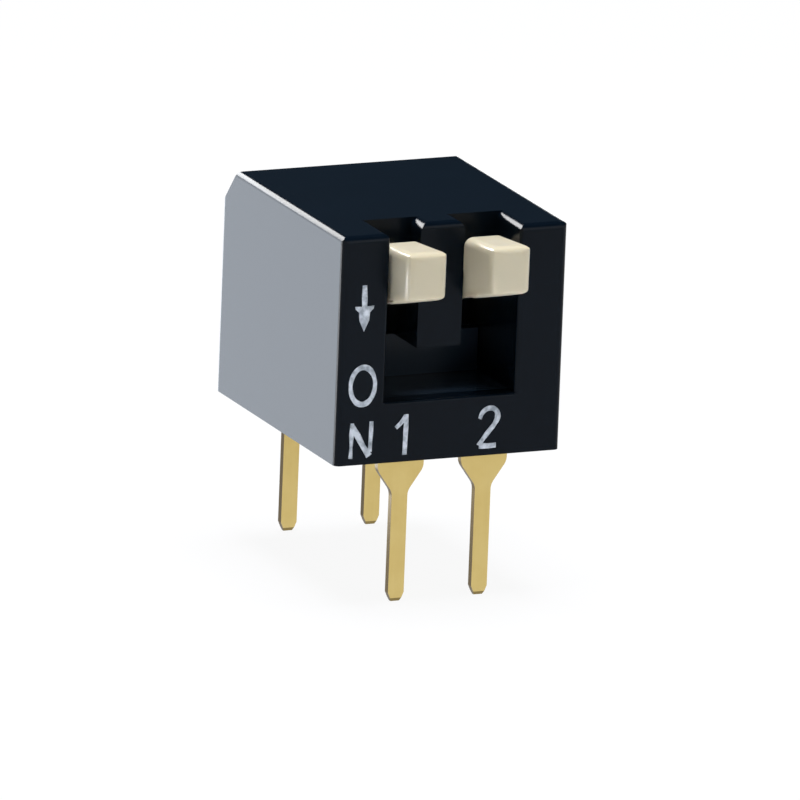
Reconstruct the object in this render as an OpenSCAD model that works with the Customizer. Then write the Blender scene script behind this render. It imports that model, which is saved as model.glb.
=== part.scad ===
// Two-position piano dip switch: a black cover over a base with gold terminals,
// and two ivory rocker levers whose keys stand out of a window in the front.
// Millimetres. X runs along the row of keys, the keys face -Y, Z is up.
// The origin is the centre of the terminal grid on the board's surface.

/* [Body] */
// Length of the cover along the row of keys
body_w = 6.85; // [6.8:0.05:8]
// Depth of the cover from front to back
body_d = 8.5; // [7:0.05:10]
// Height of the cover above the board
body_h = 6.6; // [5.4:0.05:7.8]
// Radius of the cover's moulded outer edges
edge_r = 0.17; // [0.05:0.01:0.2]
// Radius of the edges between the cover's top and its front and divider
brow_r = 0.2; // [0.1:0.01:0.3]
// How far the back chamfer runs along the top
chamfer_run = 0.95; // [0.3:0.05:1.2]
// How far the back chamfer drops down the back
chamfer_drop = 1.1; // [0.3:0.05:1.4]
// Thickness of the cover's skirt at its two ends
end_skirt_t = 0.6; // [0.45:0.05:0.7]

/* [Window] */
// Height of the window's sill above the board
sill_h = 1.75; // [1.65:0.05:1.9]
// How far the top of the window is notched back from the front
notch_depth = 1.65; // [1.5:0.05:1.9]
// Depth of the bay behind the sill
bay_depth = 2.6; // [2.3:0.05:2.7]
// How far the divider's face stands back from the front
divider_setback = 0.9; // [0.7:0.05:1.1]
// Height of the divider's lower end above the board
divider_foot_h = 3; // [2.85:0.05:3.05]
// Radius of the divider's two long upper edges
divider_r = 0.28; // [0.1:0.02:0.34]
// Radius of the upper edges at the notch's two ends
notch_r = 0.2; // [0.06:0.02:0.24]
// Radius of the window's rim
rim_r = 0.1; // [0.04:0.01:0.15]

/* [Levers] */
// Width of each lever's key
key_w = 1.24; // [1:0.02:1.4]
// How far each key stands out of the front when OFF
key_reach = 1.05; // [0.8:0.05:1.4]
// How far the upper edge of each key's front lies below the cover's top when OFF
key_drop = 0.31; // [0.25:0.01:0.5]
// Height of each key's front face
key_face_h = 1.38; // [1:0.02:1.4]
// Slope of each key's upper side when OFF, in degrees
key_slope = 5.5; // [4:0.5:8]
// Radius of each key's rounded edges
key_r = 0.26; // [0.18:0.02:0.26]
// How much narrower the arm behind each key is
arm_step = 0.1; // [0.06:0.02:0.2]
// How far each arm's upper side lies below its key's
arm_drop = 0.5; // [0.3:0.05:0.7]
// How far each lever turns from OFF to ON, in degrees
on_angle = 27; // [22:0.5:27]
// Distance of the levers' axis behind the front
pivot_setback = 4; // [3.9:0.05:4.1]
// Distance of the levers' axis below the cover's top
pivot_drop = 2.18; // [1.8:0.01:2.5]
// Radius of the hub round the axis
hub_r = 1; // [0.8:0.05:1.05]
// Radius of the levers' trunnions
trunnion_r = 0.45; // [0.35:0.01:0.5]
// Length of each trunnion
trunnion_l = 0.46; // [0.3:0.02:0.5]
// Distance of each tail's tip behind the axis
tail_reach = 1.1; // [1:0.05:1.2]
// Radius of each tail's rounded tip
tail_r = 0.3; // [0.24:0.02:0.34]
// Width of each tail
tail_w = 0.8; // [0.6:0.05:0.9]

/* [Terminals] */
// Spacing of the keys and of the terminals along a row
pitch = 2.54; // [2.5:0.01:2.56]
// Distance of each row of terminals from the cover's front or back
row_inset = 0.44; // [0.3:0.01:0.5]
// Thickness of the terminal strip
strip_t = 0.22; // [0.2:0.01:0.26]
// Width of the shoulder where a terminal leaves the body
shoulder_w = 1.4; // [1.2:0.01:1.5]
// How far the shoulder keeps its full width below the body
shoulder_drop = 0.3; // [0.1:0.05:0.5]
// Radius where the shoulder runs into the taper
shoulder_r = 0.4; // [0.2:0.05:0.5]
// Height of the taper from the shoulder to the pin
taper_h = 0.66; // [0.4:0.02:0.9]
// Radius where the taper runs into the pin
taper_r = 0.4; // [0.1:0.05:0.6]
// Width of each solder pin
pin_w = 0.48; // [0.4:0.01:0.6]
// Length of the pins below the body
pin_l = 4.15; // [3:0.05:4.5]
// Width of the chamfers on each pin's tip
tip_chamfer_w = 0.11; // [0.05:0.01:0.18]
// Height of the chamfers on each pin's tip
tip_chamfer_h = 0.26; // [0.1:0.02:0.4]
// Height of the bevels that thin each pin's tip
tip_bevel_h = 0.1; // [0.05:0.01:0.2]
// How much each bevel thins the tip
tip_bevel_t = 0.06; // [0.03:0.01:0.08]
// Width of a terminal's strip inside the body
strip_w = 0.9; // [0.7:0.02:1]
// Inner radius of a terminal's bend
bend_r = 0.12; // [0.05:0.01:0.15]
// Thickness of plastic over the front terminals' strip
strip_cover = 0.2; // [0.12:0.02:0.3]
// How far the rear terminals' tongue reaches past its contact
tongue_lip = 0.18; // [0.14:0.02:0.24]

/* [Contacts] */
// Thickness of the contact springs
leaf_t = 0.1; // [0.06:0.01:0.12]
// Width of the contact springs
leaf_w = 0.8; // [0.6:0.02:0.86]
// Length of each spring's welded end
leaf_root_l = 0.6; // [0.5:0.05:0.65]
// Rise of the springs towards the rear, in degrees, held down by the tails
leaf_slope = 14; // [13:0.5:14.5]
// Sphere radius of the contact domes
dome_r = 0.28; // [0.22:0.02:0.34]
// Height of the contact domes
dome_h = 0.08; // [0.05:0.01:0.1]
// Distance of the contact domes from the springs' free ends
dome_inset = 0.2; // [0.18:0.01:0.26]
// Opening between a spring's contact and its tongue's contact when OFF
contact_gap = 0.22; // [0.15:0.01:0.3]

/* [Base] */
// Thickness of the blocks that carry the rear terminals' tongues
block_t = 0.725; // [0.6:0.005:0.85]
// Thickness of the bulkhead behind the bay
bulkhead_t = 0.35; // [0.25:0.05:0.4]
// Distance from the bulkhead to the wells for the springs
well_setback = 0.4; // [0.35:0.02:0.5]
// Width of the wells round the springs' welded ends
well_w = 1; // [0.92:0.02:1.1]
// Length of the wells
well_l = 1.6; // [1.4:0.05:1.8]
// Radius of the ridges that snap the base into the cover
snap_r = 0.12; // [0.06:0.01:0.15]
// Length of the snap ridges
snap_l = 3; // [2:0.1:4]
// Height of the snap ridges above the board
snap_h = 0.9; // [0.6:0.05:1.1]

/* [Clearances] */
// Gap between each lever and the divider
key_gap = 0.03; // [0.02:0.01:0.06]
// Gap between each key and the end of the window
window_gap = 0.09; // [0.03:0.01:0.2]
// Gap between each lever and the roof when OFF
roof_gap = 0.1; // [0.06:0.01:0.14]
// Gap between the springs' free ends and the blocks behind them
leaf_gap = 0.12; // [0.08:0.01:0.2]
// Gap between moulded pieces that slide together
fit_gap = 0.03; // [0.02:0.005:0.04]
// Radial clearance of the trunnions in their bearings
running_gap = 0.04; // [0.02:0.005:0.06]
// Gap between a tail and the spring that it holds down
touch_gap = 0.02; // [0.01:0.005:0.03]
// Gap round the terminals where they are set in plastic
mould_gap = 0.01; // [0.005:0.005:0.02]

/* [Hidden] */
$fn = 48;

// How far cuts run past the faces that they open
past = 1;
// Front face of the cover
front_y = -body_d / 2;
// Centres of the two rows of terminals
front_row_y = front_y + row_inset;
rear_row_y = -front_row_y;
// Front and back faces of the base, which the terminals lie against
base_front_y = front_row_y + strip_t / 2 + mould_gap;
base_back_y = rear_row_y - strip_t / 2 - mould_gap;
base_w = body_w - 2 * end_skirt_t;
pocket_front_y = base_front_y - fit_gap;
// Slope of the terminals' tapers from the upright
taper_lean = atan2((shoulder_w - pin_w) / 2, taper_h);
// The window leaves the keys their gaps, and the divider leaves the arms theirs
arm_w = key_w - arm_step;
window_w = pitch + key_w + 2 * window_gap;
divider_w = pitch - arm_w - 2 * key_gap;
notch_back_y = front_y + notch_depth;
// One lever's chamber, between the divider and the window's end
chamber_w = (window_w - divider_w) / 2;
chamber_x = (window_w + divider_w) / 4;
// The levers' axis and its bearing
pivot_y = front_y + pivot_setback;
pivot_h = body_h - pivot_drop;
bearing_r = trunnion_r + running_gap;
bearing_end_x = pitch / 2 + arm_w / 2 + trunnion_l + running_gap;
post_w = 2 * (bearing_r - fit_gap);
// Corners of a key's side outline, which ends in front of the divider
key_front_y = front_y - key_reach;
key_back_y = front_y + divider_setback - key_gap;
key_run = key_back_y - key_front_y;
key_top_h = body_h - key_drop;
key_foot_h = key_top_h - key_face_h;
key_back_top_h = key_top_h - key_run * tan(key_slope);
// Underside of the roof, clear of the hub and of the arm
arm_top_h = key_back_top_h - arm_drop;
ceiling_h = max(arm_top_h, pivot_h + hub_r) + roof_gap;
// Underside of the key, a straight line that touches the hub
foot_run = pivot_y - key_front_y;
foot_fall = key_foot_h - pivot_h;
foot_span = sqrt(foot_run * foot_run + foot_fall * foot_fall);
foot_slope = asin(hub_r / foot_span) + atan2(foot_fall, foot_run);
key_back_foot_h = key_foot_h - key_run * tan(foot_slope);
// The key's back is cut away below, so that it stays clear of the divider when ON
heel_h = pivot_h + (pivot_y - key_back_y) * tan(on_angle / 2);
heel_run = (heel_h - key_back_foot_h) / (1 / tan(on_angle) + tan(foot_slope));
// The arm's underside and its end lie a little inside the key's and the hub's
arm_slim = arm_step / 2;
arm_end_r = hub_r - arm_slim;
// Upper side of the arm, from the key's back down to the hub
crown_run = pivot_y - key_back_y;
crown_rise = arm_top_h - pivot_h;
crown_span = sqrt(crown_run * crown_run + crown_rise * crown_rise);
crown_turn = acos(arm_end_r / crown_span);
crown_lean = atan2(crown_rise, crown_run);
// The bay, and the well behind it where the spring is welded to its strip
bay_back_y = front_y + bay_depth;
front_strip_h = sill_h - strip_cover - strip_t;
leaf_root_y = bay_back_y + bulkhead_t + well_setback;
leaf_bend_y = leaf_root_y + leaf_root_l;
// The spring's free end in front of its block, its underside and the tail on it
block_y = base_back_y - block_t;
leaf_tip_y = block_y - leaf_gap;
leaf_h = front_strip_h + strip_t;
leaf_skin = leaf_t / cos(leaf_slope);
tail_y = pivot_y + tail_reach;
tail_h = leaf_h + leaf_skin + (tail_y - leaf_bend_y) * tan(leaf_slope)
    + (tail_r + touch_gap) / cos(leaf_slope);
// The contacts, and the tongue over them
dome_y = leaf_tip_y - dome_inset;
leaf_dome_h = leaf_h + leaf_skin + (dome_y - leaf_bend_y) * tan(leaf_slope);
tongue_h = leaf_dome_h + 2 * dome_h + contact_gap;
tongue_end_y = dome_y - tongue_lip;

// Draws a YZ outline as a slab across X, centred on X = 0
module across(width) {
    rotate([90, 0, 90])
        linear_extrude(height = width, center = true)
            children();
}

// A box from one corner to the opposite one
module span(low, high) {
    translate(low)
        cube(high - low);
}

// Repeats its children for each of the two positions
module each_position() {
    for (side = [-1, 1])
        translate([side * pitch / 2, 0, 0])
            children();
}

// A rectangle with round corners, lower left corner at the origin
module round_rect(size, r) {
    translate([r, 0])
        square([size.x - 2 * r, size.y]);
    translate([0, r])
        square([size.x, size.y - 2 * r]);
    for (x = [r, size.x - r], y = [r, size.y - r])
        translate([x, y])
            circle(r);
}

// Takes the corner at the origin off a wall that lies towards -X and -Y
module corner_round(r) {
    difference() {
        translate([-r, -r])
            square(r + past);
        translate([-r, -r])
            circle(r);
        translate([-2 * r, -2 * r])
            square([r, 2 * r + past]);
    }
}

// The cover

// Side outline of the cover, with the chamfer and the rounded brow
module cover_side() {
    difference() {
        polygon([
            [front_y, 0],
            [-front_y, 0],
            [-front_y, body_h - chamfer_drop],
            [-front_y - chamfer_run, body_h],
            [front_y, body_h]
        ]);
        translate([front_y, body_h])
            mirror([1, 0])
                corner_round(brow_r);
    }
}

// Outer form of the cover: its side, plan and front outlines crossed
module cover_block() {
    intersection() {
        across(body_w)
            cover_side();
        translate([-body_w / 2, front_y, 0])
            linear_extrude(height = body_h)
                round_rect([body_w, body_d], edge_r);
        rotate([90, 0, 0])
            linear_extrude(height = body_d, center = true)
                difference() {
                    translate([-body_w / 2, 0])
                        square([body_w, body_h]);
                    for (side = [0, 1])
                        mirror([side, 0])
                            translate([body_w / 2, body_h])
                                corner_round(edge_r);
                }
    }
}

// Window in front of the divider, and the bay behind its sill, open below to the base's pocket
module window_cut() {
    span([-window_w / 2, front_y - past, sill_h],
         [window_w / 2, front_y + divider_setback, body_h + past]);
    span([-window_w / 2, pocket_front_y, 0],
         [window_w / 2, bay_back_y + bulkhead_t + fit_gap, divider_foot_h]);
}

// Rounds the divider's upper front edge
module divider_brow_cut() {
    translate([0, front_y + divider_setback, body_h])
        across(divider_w)
            mirror([1, 0])
                corner_round(brow_r);
}

// Rounds an edge that runs back along Y to the end of the notch
module notch_edge_round(r) {
    translate([0, notch_back_y, 0])
        rotate([90, 0, 0])
            linear_extrude(height = notch_depth + past)
                corner_round(r);
}

// Rounds the window's rim: its sill, the front and top of its ends, and the divider's long edges
module rim_cut() {
    translate([0, front_y, sill_h])
        across(window_w)
            mirror([1, 0])
                corner_round(rim_r);
    for (side = [0, 1])
        mirror([side, 0, 0]) {
            translate([window_w / 2, front_y, sill_h])
                linear_extrude(height = body_h)
                    rotate(180)
                        corner_round(rim_r);
            translate([window_w / 2, 0, body_h])
                mirror([1, 0, 0])
                    notch_edge_round(notch_r);
            translate([divider_w / 2, 0, body_h])
                notch_edge_round(divider_r);
        }
}

// Space for both levers, one on each side of the divider and open below to the base's pocket
module chamber_cut() {
    for (side = [-1, 1])
        translate([side * chamber_x, 0, 0]) {
            span([-chamber_w / 2, front_y - past, sill_h],
                 [chamber_w / 2, notch_back_y, body_h + past]);
            span([-chamber_w / 2, pocket_front_y, 0],
                 [chamber_w / 2, block_y, ceiling_h]);
            span([-chamber_w / 2, block_y - past, 0],
                 [chamber_w / 2, base_back_y, tongue_h + strip_t + fit_gap]);
        }
}

// Bearing slots for the trunnions, open below, where the base's posts close them
module bearing_cut() {
    across(2 * bearing_end_x) {
        translate([pivot_y, pivot_h])
            circle(bearing_r);
        translate([pivot_y - bearing_r, 0])
            square([2 * bearing_r, pivot_h]);
    }
}

// Pocket for the base, with grooves for the terminals and for the snap ridges
module base_cut() {
    groove_w = shoulder_w / 2 + fit_gap;
    span([-base_w / 2 - fit_gap, pocket_front_y, -past],
         [base_w / 2 + fit_gap, base_back_y + fit_gap, sill_h]);
    each_position() {
        span([-groove_w, front_row_y - strip_t / 2 - mould_gap, -past],
             [groove_w, base_front_y, front_strip_h + strip_t + fit_gap]);
        span([-groove_w, base_back_y, -past],
             [groove_w, rear_row_y + strip_t / 2 + mould_gap, tongue_h + strip_t + fit_gap]);
    }
    snap_ridges(snap_r + fit_gap, snap_l + 2 * fit_gap);
}

module cover() {
    color("#15191d")
        difference() {
            cover_block();
            window_cut();
            divider_brow_cut();
            rim_cut();
            chamber_cut();
            bearing_cut();
            base_cut();
        }
}

// The base

// Half-round ridges on the two ends of the base
module snap_ridges(r, length) {
    for (side = [-1, 1])
        translate([side * base_w / 2, 0, snap_h])
            rotate([90, 0, 0])
                cylinder(r = r, h = length, center = true);
}

// A post that closes a bearing slot from below
module bearing_post(low_x, high_x) {
    difference() {
        span([low_x, pivot_y - post_w / 2, sill_h], [high_x, pivot_y + post_w / 2, pivot_h]);
        translate([0, pivot_y, pivot_h])
            rotate([0, 90, 0])
                cylinder(r = bearing_r, h = 2 * body_w, center = true);
    }
}

module base() {
    wall_x = window_w / 2 - fit_gap;
    color("#1b1f23")
        difference() {
            union() {
                span([-base_w / 2, base_front_y, 0], [base_w / 2, base_back_y, sill_h]);
                span([-wall_x, bay_back_y, sill_h],
                     [wall_x, bay_back_y + bulkhead_t, divider_foot_h - fit_gap]);
                for (side = [-1, 1])
                    translate([side * chamber_x, 0, 0])
                        span([-chamber_w / 2 + fit_gap, block_y, sill_h],
                             [chamber_w / 2 - fit_gap, base_back_y, tongue_h]);
                bearing_post(-divider_w / 2, divider_w / 2);
                bearing_post(window_w / 2, bearing_end_x - fit_gap);
                mirror([1, 0, 0])
                    bearing_post(window_w / 2, bearing_end_x - fit_gap);
                snap_ridges(snap_r, snap_l);
            }
            each_position() {
                span([-strip_w / 2 - mould_gap, base_front_y - past, front_strip_h - mould_gap],
                     [strip_w / 2 + mould_gap, leaf_bend_y + mould_gap, leaf_h + mould_gap]);
                span([-well_w / 2, leaf_root_y - fit_gap, front_strip_h - mould_gap],
                     [well_w / 2, leaf_root_y + well_l, sill_h + past]);
            }
        }
}

// The levers

// Side outline of a key, with arcs at the two front corners
module key_side() {
    arc_y = key_front_y + key_r;
    top_arc_h = key_top_h - key_r * tan(key_slope) - key_r / cos(key_slope);
    foot_arc_h = key_foot_h - key_r * tan(foot_slope) + key_r / cos(foot_slope);
    polygon([
        [key_front_y, top_arc_h],
        [arc_y + key_r * sin(key_slope), top_arc_h + key_r * cos(key_slope)],
        [key_back_y, key_back_top_h],
        [key_back_y, heel_h],
        [key_back_y - heel_run, key_back_foot_h + heel_run * tan(foot_slope)],
        [arc_y - key_r * sin(foot_slope), foot_arc_h - key_r * cos(foot_slope)],
        [key_front_y, foot_arc_h]
    ]);
    for (arc_h = [top_arc_h, foot_arc_h])
        translate([arc_y, arc_h])
            circle(key_r);
}

// Bar with round edges that lies along a sloping side of the key.
// The bar hangs from the slope, or stands on it where hang is 0.
module key_bar(slope, front_h, hang) {
    translate([0, key_front_y, front_h])
        rotate([90 - slope, 0, 0])
            linear_extrude(height = 4 * key_run, center = true)
                translate([-key_w / 2, -hang * body_h])
                    round_rect([key_w, body_h], key_r);
}

// Key with its outer edges round and its back square: its side, plan and two sloping bars crossed
module key() {
    intersection() {
        across(key_w)
            key_side();
        translate([-key_w / 2, key_front_y, 0])
            linear_extrude(height = body_h)
                round_rect([key_w, 2 * key_run], key_r);
        key_bar(key_slope, key_top_h, 1);
        key_bar(foot_slope, key_foot_h, 0);
    }
}

// Arm from inside the key back to the hub, narrower and lower than the key
module arm() {
    start_foot_h = key_foot_h - key_reach * tan(foot_slope) + arm_slim / cos(foot_slope);
    across(arm_w)
        polygon([
            [front_y, arm_top_h],
            [key_back_y, arm_top_h],
            [pivot_y - arm_end_r * cos(crown_lean + crown_turn),
             pivot_h + arm_end_r * sin(crown_lean + crown_turn)],
            [pivot_y, pivot_h],
            [pivot_y - arm_end_r * sin(foot_slope), pivot_h - arm_end_r * cos(foot_slope)],
            [front_y, start_foot_h]
        ]);
}

// Leg from the hub down to the rounded tip that lies on the contact spring
module tail() {
    lean = atan2(tail_reach, pivot_h - tail_h);
    leg = sqrt(tail_reach * tail_reach + (pivot_h - tail_h) * (pivot_h - tail_h));
    translate([0, pivot_y, pivot_h])
        rotate([lean, 0, 0]) {
            span([-tail_w / 2, -tail_r, -leg], [tail_w / 2, tail_r, 0]);
            translate([0, 0, -leg])
                across(tail_w)
                    circle(tail_r);
        }
}

module lever() {
    color("#d8cfb4") {
        key();
        arm();
        tail();
        translate([0, pivot_y, pivot_h]) {
            across(arm_w)
                circle(hub_r);
            across(arm_w + 2 * trunnion_l)
                circle(trunnion_r);
        }
    }
}

module lever_1() {
    translate([-pitch / 2, 0, 0])
        lever();
}

module lever_2() {
    translate([pitch / 2, 0, 0])
        lever();
}

// The terminals

// Upright blade seen from the front: shoulder, taper and pin, up to a given height
module blade_outline(top_h) {
    taper_foot = -shoulder_drop - taper_h;
    half_pin = pin_w / 2;
    half_tip = half_pin - tip_chamfer_w;
    half_shoulder = shoulder_w / 2;
    shoulder_touch = shoulder_r * tan(taper_lean / 2);
    arc_h = shoulder_touch - shoulder_drop;
    neck_x = half_shoulder - shoulder_touch * sin(taper_lean);
    neck_h = -shoulder_drop - shoulder_touch * cos(taper_lean);
    polygon([
        [-half_shoulder, top_h],
        [-half_shoulder, arc_h],
        [-neck_x, neck_h],
        [-half_pin, taper_foot],
        [-half_pin, tip_chamfer_h - pin_l],
        [-half_tip, -pin_l],
        [half_tip, -pin_l],
        [half_pin, tip_chamfer_h - pin_l],
        [half_pin, taper_foot],
        [neck_x, neck_h],
        [half_shoulder, arc_h],
        [half_shoulder, top_h]
    ]);
    for (side = [0, 1])
        mirror([side, 0]) {
            translate([half_shoulder - shoulder_r, arc_h])
                circle(shoulder_r);
            translate([half_pin, taper_foot])
                taper_fillet();
        }
}

// Web that rounds the corner at the origin, where the taper runs into the pin
module taper_fillet() {
    touch = taper_r * tan(taper_lean / 2);
    difference() {
        polygon([
            [0, 0],
            [touch * sin(taper_lean), touch * cos(taper_lean)],
            [taper_r, -touch],
            [0, -touch]
        ]);
        translate([taper_r, -touch])
            circle(taper_r);
    }
}

// Wedges that thin a pin's tip from its two broad sides
module tip_bevel_cut() {
    for (side = [0, 1])
        mirror([0, side, 0])
            translate([0, strip_t / 2, -pin_l])
                across(2 * pin_w)
                    polygon([
                        [-2 * tip_bevel_t, -tip_bevel_h],
                        [tip_bevel_t, -tip_bevel_h],
                        [tip_bevel_t, 2 * tip_bevel_h]
                    ]);
}

// Side outline of the bend at the top of a blade, its inner corner at the origin
module bend_outline() {
    difference() {
        translate([-strip_t, -bend_r])
            square(strip_t + bend_r);
        translate([bend_r, -bend_r])
            circle(bend_r);
        translate([bend_r, -bend_r])
            square(bend_r);
        difference() {
            translate([-strip_t - past, 0])
                square([strip_t + past + bend_r, strip_t + past]);
            translate([bend_r, -bend_r])
                circle(bend_r + strip_t);
        }
    }
}

// A terminal that stands on the front row: blade, bend and a strip that runs back
module terminal(strip_h, strip_end_y) {
    blade_top = strip_h - bend_r;
    inner_y = front_row_y + strip_t / 2;
    color("#d4b765") {
        translate([0, front_row_y, 0])
            difference() {
                rotate([90, 0, 0])
                    linear_extrude(height = strip_t, center = true)
                        blade_outline(blade_top);
                tip_bevel_cut();
            }
        translate([0, inner_y, strip_h])
            across(strip_w)
                bend_outline();
        span([-strip_w / 2, inner_y + bend_r, strip_h],
             [strip_w / 2, strip_end_y, strip_h + strip_t]);
    }
}

module front_terminal() {
    terminal(front_strip_h, leaf_bend_y);
}

// The rear terminal faces the other way, with a contact dome under its tongue
module rear_terminal() {
    rotate([0, 0, 180])
        terminal(tongue_h, -tongue_end_y);
    color("#d4b765")
        translate([0, dome_y, tongue_h])
            mirror([0, 0, 1])
                contact_dome();
}

module front_terminal_1() {
    translate([-pitch / 2, 0, 0])
        front_terminal();
}

module front_terminal_2() {
    translate([pitch / 2, 0, 0])
        front_terminal();
}

module rear_terminal_1() {
    translate([-pitch / 2, 0, 0])
        rear_terminal();
}

module rear_terminal_2() {
    translate([pitch / 2, 0, 0])
        rear_terminal();
}

// The contact springs

// Cap of a ball that stands on the surface at the origin
module contact_dome() {
    cap_w = sqrt(dome_r * dome_r - (dome_r - dome_h) * (dome_r - dome_h));
    intersection() {
        translate([0, 0, dome_h - dome_r])
            sphere(dome_r);
        translate([0, 0, -leaf_t / 2])
            cylinder(r = cap_w, h = dome_h + leaf_t);
    }
}

module contact_spring() {
    color("#cfae58") {
        across(leaf_w)
            polygon([
                [leaf_root_y, leaf_h],
                [leaf_bend_y, leaf_h],
                [leaf_tip_y, leaf_h + (leaf_tip_y - leaf_bend_y) * tan(leaf_slope)],
                [leaf_tip_y, leaf_h + leaf_skin + (leaf_tip_y - leaf_bend_y) * tan(leaf_slope)],
                [leaf_bend_y, leaf_h + leaf_skin],
                [leaf_root_y, leaf_h + leaf_skin]
            ]);
        translate([0, dome_y, leaf_dome_h])
            rotate([leaf_slope, 0, 0])
                contact_dome();
    }
}

module contact_spring_1() {
    translate([-pitch / 2, 0, 0])
        contact_spring();
}

module contact_spring_2() {
    translate([pitch / 2, 0, 0])
        contact_spring();
}

cover();
base();
lever_1();
lever_2();
front_terminal_1();
front_terminal_2();
rear_terminal_1();
rear_terminal_2();
contact_spring_1();
contact_spring_2();
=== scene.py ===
import math

import bmesh
import bpy
from mathutils import Matrix, Vector


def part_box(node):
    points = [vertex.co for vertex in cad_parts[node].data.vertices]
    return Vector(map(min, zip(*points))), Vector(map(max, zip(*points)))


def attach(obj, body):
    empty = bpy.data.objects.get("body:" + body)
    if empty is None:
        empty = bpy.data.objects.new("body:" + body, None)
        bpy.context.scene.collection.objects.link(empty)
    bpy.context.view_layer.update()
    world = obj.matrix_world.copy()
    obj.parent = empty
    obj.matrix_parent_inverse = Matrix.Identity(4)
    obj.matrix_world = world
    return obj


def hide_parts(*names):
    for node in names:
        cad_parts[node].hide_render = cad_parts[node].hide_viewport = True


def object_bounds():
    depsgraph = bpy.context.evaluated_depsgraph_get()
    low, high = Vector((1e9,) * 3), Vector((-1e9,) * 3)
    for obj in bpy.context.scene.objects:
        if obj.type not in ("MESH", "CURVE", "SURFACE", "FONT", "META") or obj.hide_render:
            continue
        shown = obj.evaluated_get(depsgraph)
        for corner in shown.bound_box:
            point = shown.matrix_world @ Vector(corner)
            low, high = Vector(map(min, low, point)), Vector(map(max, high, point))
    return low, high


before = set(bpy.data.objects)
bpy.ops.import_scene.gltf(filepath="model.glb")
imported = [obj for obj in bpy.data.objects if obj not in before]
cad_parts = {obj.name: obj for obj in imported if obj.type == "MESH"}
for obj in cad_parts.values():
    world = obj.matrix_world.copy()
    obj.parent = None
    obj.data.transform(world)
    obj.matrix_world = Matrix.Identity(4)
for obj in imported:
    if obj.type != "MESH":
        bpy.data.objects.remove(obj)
cad_low, cad_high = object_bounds()

# Two-position piano dip switch: black moulded cover, ivory keys and gold terminals.
# Lengths below are in millimetres and are turned to metres with MM.
MM = 0.001

# Camera: a long lens that looks down a little on the front and the left end
VIEW_TURN = math.radians(24.0)
VIEW_RISE = math.radians(15.09)
VIEW_ROLL = math.radians(2.22)
VIEW_DISTANCE = 641.8 * MM
VIEW_AIM = Vector((0.116, -0.584, 0.713)) * MM
SENSOR_W = 36.0
PICTURE_W = 800
FOCAL_PIXELS = 22850
NEAR_CLIP = 50 * MM

# Tints of the daylight that the left end reflects and of the light from above, and the dim surroundings
COOL_WHITE = (0.80, 0.885, 1.0)
SKY_WHITE = (0.95, 0.97, 1.08)
DIM_SKY = (0.035, 0.05, 0.065, 1)

# Middle of the body, which the lamps shine at
LAMP_AIM = (0, 0, 3)

# White table: half its width, its paint, and the share of pure white that the camera sees
TABLE_HALF_W = 400
TABLE_PAINT = (0.95, 0.95, 0.95, 1)
TABLE_GLOW = 0.93

# Levers: points closer than this are one, and edges that turn less than this are shaded as round
MERGE_GAP = 0.0005
ROUND_TURN = math.radians(50)

# Printed marks: full stroke width, and how far the ink stands proud
INK_STROKE = 0.15
INK_PROUD = 0.008
# A stroke swells and thins by this share, and its phase turns by so much from point to point and along x
INK_UNEVEN = 0.1
UNEVEN_POINT_TURN = 2.4
UNEVEN_X_TURN = 7

# Each mark's strokes on the cover's front: x, height above the board, and share of the full width
MARK_STROKES = {
    "letter_n": [
        [(-2.945, 1.22, 0.85), (-2.95, 0.9, 1.0), (-2.957, 0.52, 0.6), (-2.965, 0.2, 0.95)],
        [(-2.93, 1.15, 0.9), (-2.77, 0.85, 1.2), (-2.59, 0.53, 1.15), (-2.4, 0.24, 1.3)],
        [(-2.36, 1.24, 0.8), (-2.362, 0.95, 1.0), (-2.375, 0.62, 0.75), (-2.385, 0.36, 0.9)],
    ],
    "figure_1": [
        [(-1.61, 0.99, 0.75), (-1.45, 1.14, 1.0), (-1.31, 1.33, 0.9)],
        [(-1.292, 1.37, 0.8), (-1.302, 1.0, 1.1), (-1.31, 0.6, 0.9), (-1.32, 0.2, 1.05)],
    ],
    "figure_2": [
        [(0.945, 1.07, 0.75), (1.045, 1.27, 1.0), (1.245, 1.36, 1.0), (1.43, 1.29, 1.1), (1.49, 1.1, 1.15),
         (1.405, 0.9, 0.95), (1.215, 0.67, 1.15), (1.04, 0.44, 0.95), (0.945, 0.29, 1.15)],
        [(0.95, 0.285, 1.15), (1.2, 0.27, 1.2), (1.465, 0.275, 0.95)],
    ],
}
LETTER_O_CENTRE = (-2.668, 2.285)
LETTER_O_HALF = (0.37, 0.535)
LETTER_O_POINTS = 16
LETTER_O_SWELL = 0.15
# The arrow that points towards ON: a stem, and half of the head's outline from its axis
ARROW_X = -2.7
ARROW_STEM = [(ARROW_X - 0.02, 5.19, 0.95), (ARROW_X - 0.01, 4.85, 1.15), (ARROW_X, 4.4, 1.1)]
ARROW_HEAD = [
    (0.0, 4.6), (0.09, 4.58), (0.285, 4.59), (0.27, 4.51), (0.165, 4.41), (0.15, 4.18), (0.0, 3.86),
]


def linear(hex_colour):
    """An sRGB hex colour as linear RGBA."""
    parts = [int(hex_colour[i:i + 2], 16) / 255 for i in (1, 3, 5)]
    return (*[p / 12.92 if p <= 0.04045 else ((p + 0.055) / 1.055) ** 2.4 for p in parts], 1.0)


def per_mm(size):
    """Texture scale at which a pattern's cells are about this many millimetres wide."""
    return 1 / (size * MM)


def add(tree, kind, links=None, **settings):
    """Adds a node with its settings; links gives each input a value or another node's output."""
    made = tree.nodes.new("ShaderNode" + kind)
    for name, value in settings.items():
        setattr(made, name, value)
    for name, value in (links or {}).items():
        if isinstance(value, bpy.types.NodeSocket):
            tree.links.new(value, made.inputs[name])
        else:
            made.inputs[name].default_value = value
    return made


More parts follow.
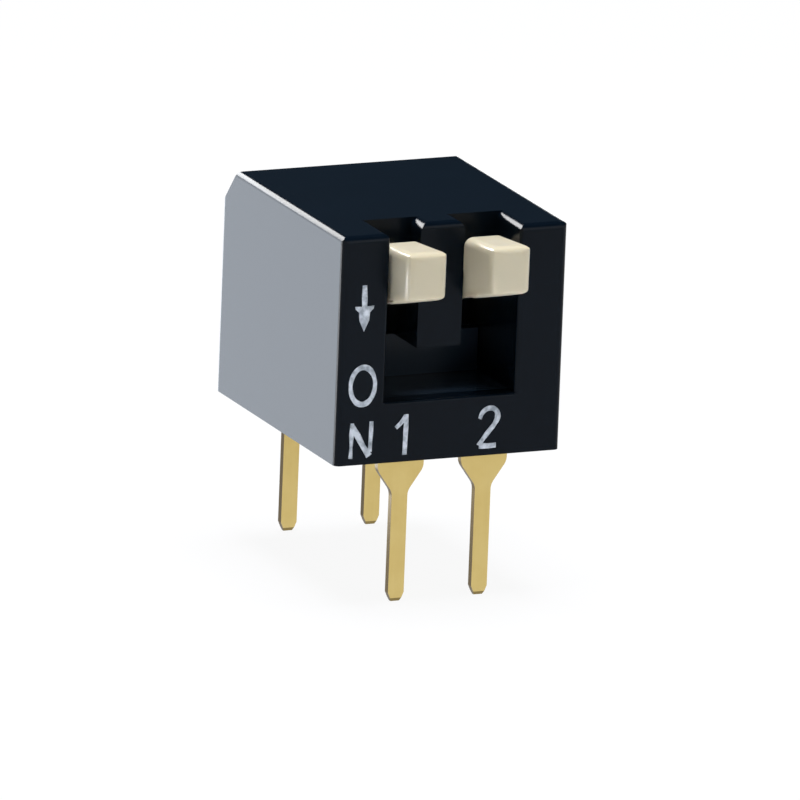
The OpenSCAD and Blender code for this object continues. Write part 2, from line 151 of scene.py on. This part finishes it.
def new_material(name):
    """An empty node material with its output, and the object coordinates that its patterns read."""
    material = bpy.data.materials.new(name)
    material.use_nodes = True
    tree = material.node_tree
    tree.nodes.clear()
    coords = add(tree, "TexCoord")
    return material, tree, coords


def finish_material(tree, shader):
    """Links a shader to the material's output."""
    add(tree, "OutputMaterial", {"Surface": shader.outputs[0]})


# Materials

def black_polyester(name, light, dark, specular):
    """Glass-filled polyester from a spark-eroded mould: blue-black, with a finely grained satin."""
    material, tree, coords = new_material(name)
    grain = add(
        tree, "TexNoise", {"Vector": coords.outputs["Object"], "Scale": per_mm(0.07), "Detail": 3.0}
    )
    cloud = add(
        tree, "TexNoise", {"Vector": coords.outputs["Object"], "Scale": per_mm(2.2), "Detail": 2.0}
    )
    colour = add(
        tree, "Mix", {0: cloud.outputs[0], 6: linear(dark), 7: linear(light)}, data_type="RGBA"
    )
    rough = add(
        tree, "MapRange",
        {"Value": grain.outputs[0], "From Min": 0.3, "From Max": 0.7, "To Min": 0.2, "To Max": 0.27},
    )
    bump = add(
        tree, "Bump",
        {"Strength": 0.05, "Distance": 0.004 * MM, "Height": grain.outputs[0]},
    )
    shader = add(
        tree, "BsdfPrincipled",
        {
            "Base Color": colour.outputs[2],
            "Roughness": rough.outputs[0],
            "Specular IOR Level": specular,
            "Normal": bump.outputs[0],
        },
    )
    finish_material(tree, shader)
    return material


def ivory_nylon():
    """Ivory nylon from a polished mould: warm, faintly cloudy and soft-edged, with a low gloss."""
    material, tree, coords = new_material("ivory_nylon_moulded")
    cloud = add(
        tree, "TexNoise", {"Vector": coords.outputs["Object"], "Scale": per_mm(1.6), "Detail": 1.0}
    )
    peel = add(
        tree, "TexNoise", {"Vector": coords.outputs["Object"], "Scale": per_mm(0.16), "Detail": 1.0}
    )
    colour = add(
        tree, "Mix", {0: cloud.outputs[0], 6: linear("#d9cdaa"), 7: linear("#ddd2b3")}, data_type="RGBA"
    )
    # Nowhere below 0.28, where the picture's noise filter would draw the border of a glossier patch
    rough = add(
        tree, "MapRange",
        {"Value": cloud.outputs[0], "From Min": 0.3, "From Max": 0.7, "To Min": 0.29, "To Max": 0.36},
    )
    bump = add(
        tree, "Bump",
        {"Strength": 0.1, "Distance": 0.006 * MM, "Height": peel.outputs[0]},
    )
    shader = add(
        tree, "BsdfPrincipled",
        {
            "Base Color": colour.outputs[2],
            "Roughness": rough.outputs[0],
            "IOR": 1.53,
            "Subsurface Weight": 0.15,
            "Subsurface Radius": (1.0, 0.75, 0.45),
            "Subsurface Scale": 0.25 * MM,
            "Sheen Weight": 0.3,
            "Sheen Roughness": 0.35,
            "Normal": bump.outputs[0],
        },
    )
    finish_material(tree, shader)
    return material


def gold_on_brass():
    """Thin gold on rolled brass strip: soft pale gold with faint rolling lines, and dark brown on faces
    that turn to the sides or down, partly the dull sheared edges and partly painted shade.
    """
    material, tree, coords = new_material("gold_plate_on_brass_strip")
    # Rolling lines run down the pins: about 0.04 mm apart and several millimetres long
    stretched = add(
        tree, "Mapping",
        {"Vector": coords.outputs["Object"], "Scale": (per_mm(0.04), per_mm(0.04), per_mm(3.0))},
    )
    lines = add(tree, "TexNoise", {"Vector": stretched.outputs[0], "Scale": 1.0, "Detail": 2.0})
    cloud = add(
        tree, "TexNoise", {"Vector": coords.outputs["Object"], "Scale": per_mm(0.7), "Detail": 3.0}
    )
    plate = add(
        tree, "Mix", {0: cloud.outputs[0], 6: linear("#cfb671"), 7: linear("#dcc685")}, data_type="RGBA"
    )
    # Faces that turn to the sides or down get a dark brown, partly for their bare sheared edges and partly
    # as painted shade; down counts a little more, for the slanted tips
    facing = add(tree, "SeparateXYZ", {0: coords.outputs["Normal"]})
    sideways = add(tree, "Math", {0: facing.outputs[0]}, operation="ABSOLUTE")
    down = add(tree, "Math", {0: facing.outputs[2], 1: -1.4}, operation="MULTIPLY")
    facing_away = add(tree, "Math", {0: sideways.outputs[0], 1: down.outputs[0]}, operation="MAXIMUM")
    sheared_and_shaded = add(
        tree, "MapRange",
        {"Value": facing_away.outputs[0], "From Min": 0.5, "From Max": 0.8, "To Min": 0.0, "To Max": 1.0},
    )
    # The dark brown is partly the sheared brass and partly painted shade on side and downward faces
    colour = add(
        tree, "Mix", {0: sheared_and_shaded.outputs[0], 6: plate.outputs[2], 7: linear("#574724")}, data_type="RGBA"
    )
    rough = add(
        tree, "MapRange",
        {"Value": lines.outputs[0], "From Min": 0.3, "From Max": 0.7, "To Min": 0.3, "To Max": 0.42},
    )
    bump = add(
        tree, "Bump",
        {"Strength": 0.15, "Distance": 0.003 * MM, "Height": lines.outputs[0]},
    )
    shader = add(
        tree, "BsdfPrincipled",
        {
            "Base Color": colour.outputs[2],
            "Metallic": 1.0,
            "Roughness": rough.outputs[0],
            "Normal": bump.outputs[0],
        },
    )
    finish_material(tree, shader)
    return material


def pad_print_ink():
    """Pale grey pad-printing ink: matt, thin in places so that the black shows through a little."""
    material, tree, coords = new_material("pad_print_ink_grey")
    thin = add(
        tree, "TexNoise", {"Vector": coords.outputs["Object"], "Scale": per_mm(0.2), "Detail": 3.0}
    )
    cover = add(
        tree, "MapRange",
        {"Value": thin.outputs[0], "From Min": 0.32, "From Max": 0.62, "To Min": 0.0, "To Max": 1.0},
    )
    colour = add(
        tree, "Mix", {0: cover.outputs[0], 6: linear("#8f989e"), 7: linear("#dde3e8")}, data_type="RGBA"
    )
    bump = add(
        tree, "Bump",
        {"Strength": 0.2, "Distance": 0.004 * MM, "Height": thin.outputs[0]},
    )
    shader = add(
        tree, "BsdfPrincipled",
        {"Base Color": colour.outputs[2], "Roughness": 0.6, "Normal": bump.outputs[0]},
    )
    finish_material(tree, shader)
    return material


def dress(node, material):
    """Gives a CAD node its finish."""
    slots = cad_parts[node].data.materials
    slots.clear()
    slots.append(material)


def moulded_lever(node, material):
    """Shows a lever as a copy of its solid whose round edges and corners run smoothly together."""
    shape = bmesh.new()
    shape.from_mesh(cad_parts[node].data)
    bmesh.ops.remove_doubles(shape, verts=shape.verts, dist=MERGE_GAP * MM)
    for edge in shape.edges:
        edge.smooth = edge.calc_face_angle(0) < ROUND_TURN
    for face in shape.faces:
        face.smooth = True
        face.material_index = 0
    mesh = bpy.data.meshes.new(node + "_moulded")
    shape.to_mesh(mesh)
    shape.free()
    if "custom_normal" in mesh.attributes:
        mesh.attributes.remove(mesh.attributes["custom_normal"])
    mesh.materials.append(material)
    lever = bpy.data.objects.new(node + "_moulded", mesh)
    bpy.context.scene.collection.objects.link(lever)
    evening = lever.modifiers.new("even_shading", "WEIGHTED_NORMAL")
    evening.keep_sharp = True
    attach(lever, node)
    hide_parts(node)


# Printed marks

front_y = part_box("cover")[0].y


def place_mark(name, mesh, ink):
    """Makes a mark of a mesh drawn on the plane Y = 0, on the cover's front."""
    mesh.name = name
    mesh.transform(Matrix.Translation((0, front_y, 0)))
    mesh.materials.clear()
    mesh.materials.append(ink)
    mesh.shade_smooth()
    mark = bpy.data.objects.new(name, mesh)
    bpy.context.scene.collection.objects.link(mark)
    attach(mark, "body")


def stroke_mesh(strokes, closed=False):
    """Flattened strokes of ink on the plane Y = 0, a little uneven in width along their length."""
    curve = bpy.data.curves.new("stroke", "CURVE")
    curve.dimensions = "3D"
    curve.bevel_depth = INK_STROKE / 2 * MM
    curve.bevel_resolution = 3
    curve.resolution_u = 8
    curve.use_fill_caps = True
    for points in strokes:
        spline = curve.splines.new("BEZIER")
        spline.bezier_points.add(len(points) - 1)
        spline.use_cyclic_u = closed
        for i, (point, (x, height, share)) in enumerate(zip(spline.bezier_points, points)):
            point.co = (x * MM, 0, height * MM)
            point.handle_left_type = "AUTO"
            point.handle_right_type = "AUTO"
            point.radius = share * (1 + INK_UNEVEN * math.sin(UNEVEN_POINT_TURN * i + UNEVEN_X_TURN * x))
    pen = bpy.data.objects.new("pen", curve)
    bpy.context.scene.collection.objects.link(pen)
    drawn = bpy.data.meshes.new_from_object(pen.evaluated_get(bpy.context.evaluated_depsgraph_get()))
    bpy.data.objects.remove(pen)
    drawn.transform(Matrix.Diagonal((1, 2 * INK_PROUD / INK_STROKE, 1, 1)))
    return drawn


def arrow_mesh():
    """The arrow: its stem, and its head as a flat plate of ink with soft edges."""
    shape = bmesh.new()
    shape.from_mesh(stroke_mesh([ARROW_STEM]))
    outline = ARROW_HEAD + [(-x, height) for x, height in reversed(ARROW_HEAD[1:-1])]
    corners = [shape.verts.new(((ARROW_X + x) * MM, INK_PROUD * MM, height * MM)) for x, height in outline]
    plate = shape.faces.new(corners)
    raised = bmesh.ops.extrude_face_region(shape, geom=[plate])["geom"]
    lifted = [v for v in raised if isinstance(v, bmesh.types.BMVert)]
    bmesh.ops.translate(shape, verts=lifted, vec=(0, -2 * INK_PROUD * MM, 0))
    bmesh.ops.recalc_face_normals(shape, faces=shape.faces)
    mesh = bpy.data.meshes.new("arrow")
    shape.to_mesh(mesh)
    shape.free()
    return mesh


def print_marks():
    """Prints the arrow, ON downwards and the two position numbers on the cover's front."""
    ink = pad_print_ink()
    ring = []
    for i in range(LETTER_O_POINTS):
        turn = 2 * math.pi * i / LETTER_O_POINTS
        x = LETTER_O_CENTRE[0] + LETTER_O_HALF[0] * math.cos(turn)
        height = LETTER_O_CENTRE[1] + LETTER_O_HALF[1] * math.sin(turn)
        ring.append((x, height, 1 - LETTER_O_SWELL * math.cos(2 * turn)))
    place_mark("print_letter_o", stroke_mesh([ring], closed=True), ink)
    for name, strokes in MARK_STROKES.items():
        place_mark("print_" + name, stroke_mesh(strokes), ink)
    place_mark("print_arrow", arrow_mesh(), ink)


# Studio

def studio_world():
    """A white backdrop to the camera, which gives the object only a little light."""
    world = bpy.data.worlds.new("studio")
    world.use_nodes = True
    tree = world.node_tree
    tree.nodes.clear()
    path = add(tree, "LightPath")
    colour = add(
        tree, "Mix",
        {0: path.outputs["Is Camera Ray"], 6: DIM_SKY, 7: (1, 1, 1, 1)},
        data_type="RGBA",
    )
    background = add(tree, "Background", {"Color": colour.outputs[2], "Strength": 1.0})
    add(tree, "OutputWorld", {"Surface": background.outputs[0]})
    bpy.context.scene.world = world


def studio_floor():
    """A white table under the pins: seen white by eye and in reflections, with the object's soft shadow."""
    shape = bmesh.new()
    bmesh.ops.create_grid(shape, x_segments=1, y_segments=1, size=TABLE_HALF_W * MM)
    bmesh.ops.translate(shape, verts=shape.verts, vec=(0, 0, cad_low.z))
    mesh = bpy.data.meshes.new("floor")
    shape.to_mesh(mesh)
    shape.free()
    floor = bpy.data.objects.new("floor", mesh)
    bpy.context.scene.collection.objects.link(floor)
    material, tree, _ = new_material("white_table")
    path = add(tree, "LightPath")
    seen = add(tree, "Math", {0: path.outputs["Is Camera Ray"], 1: TABLE_GLOW}, operation="MULTIPLY")
    share = add(
        tree, "Math", {0: seen.outputs[0], 1: path.outputs["Is Glossy Ray"]}, operation="MAXIMUM"
    )
    paint = add(tree, "BsdfDiffuse", {"Color": TABLE_PAINT})
    white = add(tree, "Emission", {"Color": (1, 1, 1, 1), "Strength": 1.0})
    mixed = add(tree, "MixShader", {0: share.outputs[0], 1: paint.outputs[0], 2: white.outputs[0]})
    finish_material(tree, mixed)
    mesh.materials.append(material)


def softbox(name, place, aim, size, level, tint=(1, 1, 1)):
    """A rectangular soft light at a place, turned to a point, whose face is this many times white."""
    light = bpy.data.lights.new(name, "AREA")
    light.color = tint
    light.shape = "RECTANGLE"
    light.size = size[0] * MM
    light.size_y = size[1] * MM
    light.energy = level * math.pi * light.size * light.size_y
    box = bpy.data.objects.new(name, light)
    box.location = Vector(place) * MM
    box.rotation_euler = (Vector(aim) * MM - box.location).to_track_quat("-Z", "Y").to_euler()
    box.visible_camera = False
    bpy.context.scene.collection.objects.link(box)
    return box


def studio_lights():
    """A softbox overhead, a fill in front, and a lamp and cards that show only in glossy faces."""
    overhead = softbox(
        "overhead", place=(0, 10, 150), aim=LAMP_AIM, size=(80, 80), level=16.0, tint=SKY_WHITE
    )
    overhead.visible_glossy = False
    softbox("front_fill", place=(60, -130, 60), aim=LAMP_AIM, size=(90, 90), level=1.8)
    # The bright spots at the keys' front left corners
    glint = softbox("glint", place=(-64, -15, 83), aim=LAMP_AIM, size=(30, 30), level=40.0)
    # The grey of the left end
    low_card = softbox(
        "low_card", place=(-9.7, 4.3, 1.75), aim=(-9.7, 0, 1.75), size=(12.6, 11.7), level=4.7,
        tint=COOL_WHITE,
    )
    # The white of the left end's top edge, of the notches and of the keys' top edges
    high_card = softbox(
        "high_card", place=(-12, 30, 17.5), aim=(-12, 0, 17.5), size=(18, 17), level=18.0
    )
    # The paler right edge of the top
    horizon_card = softbox(
        "horizon_card", place=(39, 91, 1), aim=(0, 0, 1), size=(70, 10), level=4.0
    )
    # The pale upright edges at the front left
    edge_card = softbox(
        "edge_card", place=(-14, 1.5, 0.25), aim=(0, 1.5, 0.25), size=(5, 7.1), level=18.0
    )
    for card in (glint, low_card, high_card, horizon_card, edge_card):
        card.visible_diffuse = False


def photo_camera():
    """The camera, placed from the viewing angles."""
    back = Vector((
        -math.sin(VIEW_TURN) * math.cos(VIEW_RISE),
        -math.cos(VIEW_TURN) * math.cos(VIEW_RISE),
        math.sin(VIEW_RISE),
    ))
    level = Vector((math.cos(VIEW_TURN), -math.sin(VIEW_TURN), 0))
    rise = back.cross(level)
    across = math.cos(VIEW_ROLL) * level + math.sin(VIEW_ROLL) * rise
    upward = back.cross(across)
    lens = bpy.data.cameras.new("camera")
    lens.sensor_width = SENSOR_W
    lens.lens = FOCAL_PIXELS * SENSOR_W / PICTURE_W
    lens.clip_start = NEAR_CLIP
    camera = bpy.data.objects.new("camera", lens)
    turned = Matrix((across, upward, back)).transposed().to_4x4()
    camera.matrix_world = Matrix.Translation(VIEW_AIM + VIEW_DISTANCE * back) @ turned
    bpy.context.scene.collection.objects.link(camera)
    bpy.context.scene.camera = camera


# Dressing the switch

dress("cover", black_polyester("black_polyester_cover", "#08121b", "#060e16", 0.1))
dress("base", black_polyester("black_polyester_base", "#222e39", "#1b252f", 0.12))
ivory = ivory_nylon()
gold = gold_on_brass()
for position in (1, 2):
    moulded_lever(f"lever_{position}", ivory)
    dress(f"front_terminal_{position}", gold)
    dress(f"rear_terminal_{position}", gold)
    dress(f"contact_spring_{position}", gold)
print_marks()

studio_world()
studio_floor()
studio_lights()
photo_camera()
bpy.context.scene.view_settings.view_transform = "Standard"
